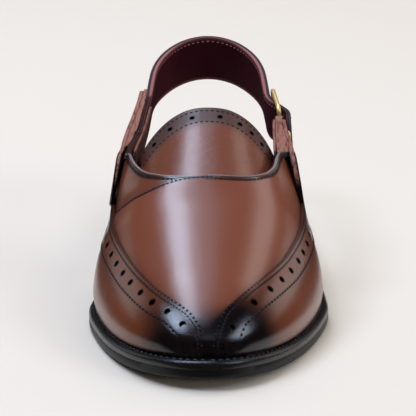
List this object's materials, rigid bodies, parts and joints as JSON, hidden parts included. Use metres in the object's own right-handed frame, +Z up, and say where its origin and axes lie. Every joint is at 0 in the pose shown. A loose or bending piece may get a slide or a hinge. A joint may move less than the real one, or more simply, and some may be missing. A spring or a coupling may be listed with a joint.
{
  "type": "kabuli sandal",
  "caption": "Leather sandal for the left foot with a closed brogued vamp, raised tongue, proud toe wings and a buckled heel strap on a low-heeled welted sole.",
  "frame": {"origin": "on the ground, under the middle of the sole's length and width", "axes": "+Z up, -Y towards the toe, +X towards the outer side of the left foot"},
  "size_m": [0.1066, 0.29, 0.0885],
  "materials": {
    "brown_leather": "burnished, satin gloss",
    "strap_leather": "satin, wine red lining",
    "footbed_leather": "matt",
    "black_welt": "satin, stitched",
    "black_sole": "satin",
    "brass": "polished"
  },
  "bodies": {
    "root": {"outsole": "black_sole", "heel_block": "black_sole", "welt": "black_welt", "insole": "footbed_leather", "upper": "brown_leather", "tongue": "brown_leather", "wing_medial": "brown_leather", "wing_lateral": "brown_leather", "side_strap_medial": "strap_leather", "side_strap_lateral": "strap_leather", "heel_strap": "strap_leather", "buckle_frame": "brass", "buckle_prong": "brass", "strap_rivet": "brass"}
  },
  "joints": []
}
